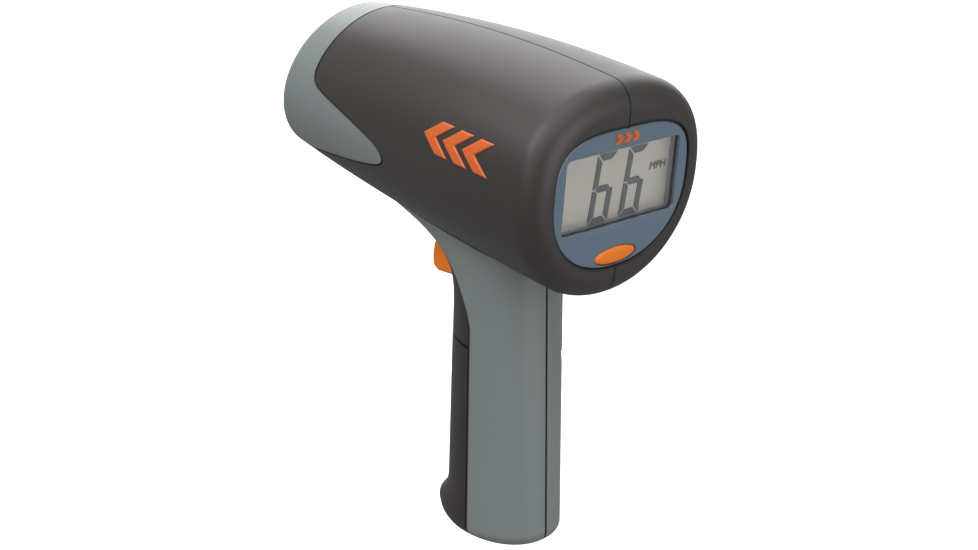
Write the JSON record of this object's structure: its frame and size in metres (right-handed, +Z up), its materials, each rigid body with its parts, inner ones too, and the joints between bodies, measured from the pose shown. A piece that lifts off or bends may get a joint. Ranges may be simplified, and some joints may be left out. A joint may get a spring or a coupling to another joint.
{
  "type": "speed radar gun",
  "caption": "Hand-held speed radar gun: round-nosed head with a rear display and mode button on a raked trigger grip.",
  "frame": {"origin": "centre of the overall width and length, at the foot of the grip", "axes": "+Y along the radar beam towards the nose, +Z up the head, +X to the right as the user holds it"},
  "size_m": [0.0964, 0.1783, 0.2176],
  "materials": {
    "head_plastic": "fine matt texture",
    "grey_plastic": "satin",
    "strip_plastic": "satin",
    "radome_plastic": "matt",
    "black_rubber": "matt",
    "plated_metal": "satin",
    "cast_metal": "as cast",
    "can_metal": "satin",
    "circuit_board": "solder mask",
    "frame_plastic": "satin",
    "chassis_plastic": "satin",
    "screw_steel": "plated",
    "dark_screw_steel": "black oxide",
    "lcd_glass": "reflective liquid crystal",
    "lcd_ink": "liquid crystal segments",
    "contact_rubber": "matt",
    "bezel_plastic": "gloss",
    "clear_plastic": "clear",
    "orange_plastic": "satin",
    "orange_paint": "satin",
    "spring_steel": "bright",
    "cell_jacket": "printed sleeve",
    "wire_jacket": "satin"
  },
  "bodies": {
    "housing": {"head_shell_left": "head_plastic", "head_shell_right": "head_plastic", "nose_shroud": "grey_plastic", "radome": "radome_plastic", "radome_seal": "black_rubber", "horn_antenna": "plated_metal", "transceiver_block": "cast_metal", "oscillator_can": "can_metal", "signal_board": "circuit_board", "chassis": "chassis_plastic", "main_board": "circuit_board", "board_screws": "screw_steel", "lcd_glass": "lcd_glass", "lcd_frame": "frame_plastic", "lcd_contact_strips": "contact_rubber", "lcd_digits": "lcd_ink", "display_bezel": "bezel_plastic", "display_window": "clear_plastic", "window_gasket": "black_rubber", "mode_switch": "chassis_plastic", "grip_shell_left": "grey_plastic", "grip_shell_right": "grey_plastic", "trigger_surround": "strip_plastic", "trigger_pin": "screw_steel", "trigger_spring": "spring_steel", "trigger_switch": "chassis_plastic", "trigger_bracket": "chassis_plastic", "battery_sleeve": "chassis_plastic", "battery_lower": "cell_jacket", "battery_upper": "cell_jacket", "battery_spring": "spring_steel", "contact_plate_lower": "spring_steel", "contact_plate_upper": "spring_steel", "battery_leads": "wire_jacket", "housing_screws": "dark_screw_steel", "side_mark_left": "orange_paint", "side_mark_right": "orange_paint", "bezel_mark": "orange_paint"},
    "mode_button": {"mode_button": "orange_plastic"},
    "trigger": {"trigger": "orange_plastic"},
    "battery_door": {"battery_door": "strip_plastic"}
  },
  "joints": [
    {"name": "trigger_pull", "type": "hinge", "parent": "housing", "child": "trigger", "pos_m": [0, -0.00578, 0.12682], "axis": [-1, 0, 0], "range_deg": [0, 9], "stiffness_Nm_per_rad": 0.5, "springref_deg": -6.88, "deforming": ["trigger_spring"]},
    {"name": "mode_press", "type": "slide", "parent": "housing", "child": "mode_button", "axis": [0, 1, 0], "range_m": [0, 0.0009], "stiffness_N_per_m": 900, "springref_m": -0.0008},
    {"name": "battery_door_swing", "type": "hinge", "parent": "housing", "child": "battery_door", "pos_m": [0, -0.00876, 0.08782], "axis": [1, 0, 0], "range_deg": [0, 60]}
  ]
}
